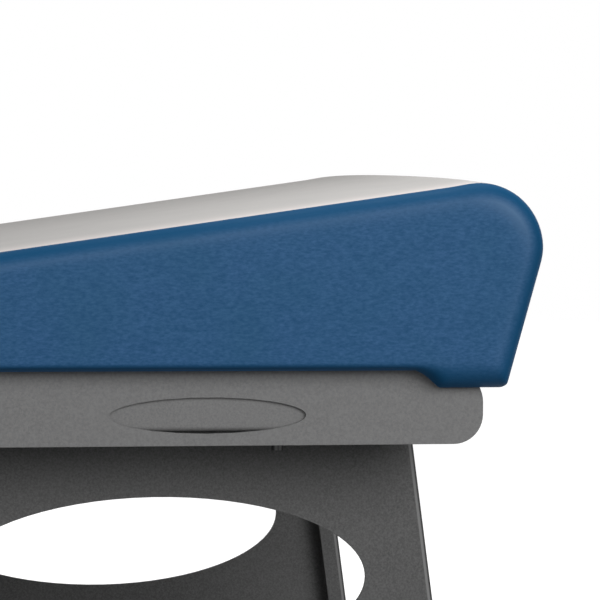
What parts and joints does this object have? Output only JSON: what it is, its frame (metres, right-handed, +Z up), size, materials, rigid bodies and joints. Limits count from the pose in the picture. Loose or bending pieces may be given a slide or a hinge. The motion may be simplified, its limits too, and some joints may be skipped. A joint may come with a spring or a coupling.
{
  "type": "medical exam table",
  "caption": "Padded examination couch with a raised head wedge, a lifting back section on a lockable gas spring and oval-cut sheet-metal pedestals.",
  "frame": {"origin": "on the floor under the middle of the table", "axes": "+X towards the head end, +Y towards the rear long side, +Z up"},
  "size_m": [1.86, 0.724, 0.8494],
  "materials": {
    "blue_vinyl": "matt vinyl with a fine horizontal grain",
    "stone_vinyl": "matt vinyl, pale stone",
    "plywood": "raw plywood",
    "beech": "planed beech",
    "frame_paint": "fine-textured powder coat, mid grey",
    "base_paint": "fine-textured powder coat, dark grey",
    "zinc_steel": "zinc plated",
    "black_plastic": "moulded, fine texture",
    "black_rubber": "matt rubber",
    "spring_black": "satin black",
    "chrome_rod": "hard chrome, polished"
  },
  "bodies": {
    "base": {"seat_cushion": "blue_vinyl", "seat_board": "plywood", "seat_bearers": "beech", "seat_screws": "zinc_steel", "hinge_ear_front": "frame_paint", "hinge_ear_rear": "frame_paint", "hinge_bushes": "black_plastic", "ear_bolts": "zinc_steel", "rail_front": "frame_paint", "rail_rear": "frame_paint", "side_tube_front": "frame_paint", "side_tube_rear": "frame_paint", "side_tube_plugs": "black_plastic", "cross_tubes": "frame_paint", "hinge_cross_tube": "frame_paint", "frame_bolts": "zinc_steel", "frame_nuts": "zinc_steel", "back_buffers": "black_rubber", "top_cap_head": "base_paint", "top_cap_foot": "base_paint", "pedestal_head_front": "base_paint", "pedestal_head_rear": "base_paint", "pedestal_foot_front": "base_paint", "pedestal_foot_rear": "base_paint", "runner_front": "base_paint", "runner_rear": "base_paint", "runner_caps": "black_plastic", "floor_cross_tubes": "base_paint", "foot_inserts": "zinc_steel", "spring_foot_bracket": "frame_paint", "spring_foot_pin": "zinc_steel"},
    "back_section": {"back_cushion": "blue_vinyl", "back_board": "plywood", "back_tubes": "frame_paint", "back_cross_pieces": "frame_paint", "back_screws": "zinc_steel", "pivot_shaft": "zinc_steel", "pivot_caps": "black_plastic", "pivot_lugs": "frame_paint", "spring_head_bracket": "frame_paint", "paddle_brackets": "frame_paint", "paddle_pin": "zinc_steel"},
    "gas_spring_barrel": {"spring_barrel": "spring_black"},
    "gas_spring_rod": {"spring_rod": "chrome_rod", "spring_head_pin": "zinc_steel"},
    "release_paddle": {"release_paddle": "black_plastic"},
    "release_rod": {"release_rod": "zinc_steel"},
    "foot_1": {"foot_pad_1": "black_rubber", "foot_stud_1": "zinc_steel"},
    "foot_2": {"foot_pad_2": "black_rubber", "foot_stud_2": "zinc_steel"},
    "foot_3": {"foot_pad_3": "black_rubber", "foot_stud_3": "zinc_steel"},
    "foot_4": {"foot_pad_4": "black_rubber", "foot_stud_4": "zinc_steel"}
  },
  "joints": [
    {"name": "back_hinge", "type": "hinge", "parent": "base", "child": "back_section", "pos_m": [0.165, 0, 0.74], "axis": [0, -1, 0], "range_deg": [0, 65]},
    {"name": "spring_swing", "type": "hinge", "parent": "base", "child": "gas_spring_barrel", "pos_m": [0.205, 0, 0.68], "axis": [0, -1, 0], "range_deg": [0, 66]},
    {"name": "spring_stroke", "type": "slide", "parent": "gas_spring_barrel", "child": "gas_spring_rod", "axis": [1, 0, 0], "range_m": [0, 0.078]},
    {"name": "paddle_squeeze", "type": "hinge", "parent": "back_section", "child": "release_paddle", "pos_m": [0.812, 0, 0.69], "axis": [0, -1, 0], "range_deg": [0, 10], "stiffness_Nm_per_rad": 1, "springref_deg": -5.73},
    {"name": "release_push", "type": "slide", "parent": "back_section", "child": "release_rod", "axis": [-1, 0, 0], "range_m": [0, 0.0012]},
    {"name": "foot_1_level", "type": "slide", "parent": "base", "child": "foot_1", "axis": [0, 0, -1], "range_m": [0, 0.015]},
    {"name": "foot_2_level", "type": "slide", "parent": "base", "child": "foot_2", "axis": [0, 0, -1], "range_m": [0, 0.015]},
    {"name": "foot_3_level", "type": "slide", "parent": "base", "child": "foot_3", "axis": [0, 0, -1], "range_m": [0, 0.015]},
    {"name": "foot_4_level", "type": "slide", "parent": "base", "child": "foot_4", "axis": [0, 0, -1], "range_m": [0, 0.015]}
  ],
  "couplings": [
    {"joint": "spring_swing", "follows": "back_hinge", "ratio": 1.0041},
    {"joint": "spring_stroke", "follows": "back_hinge", "m_per_rad": 0.068294},
    {"joint": "release_push", "follows": "paddle_squeeze", "m_per_rad": 0.006875}
  ]
}
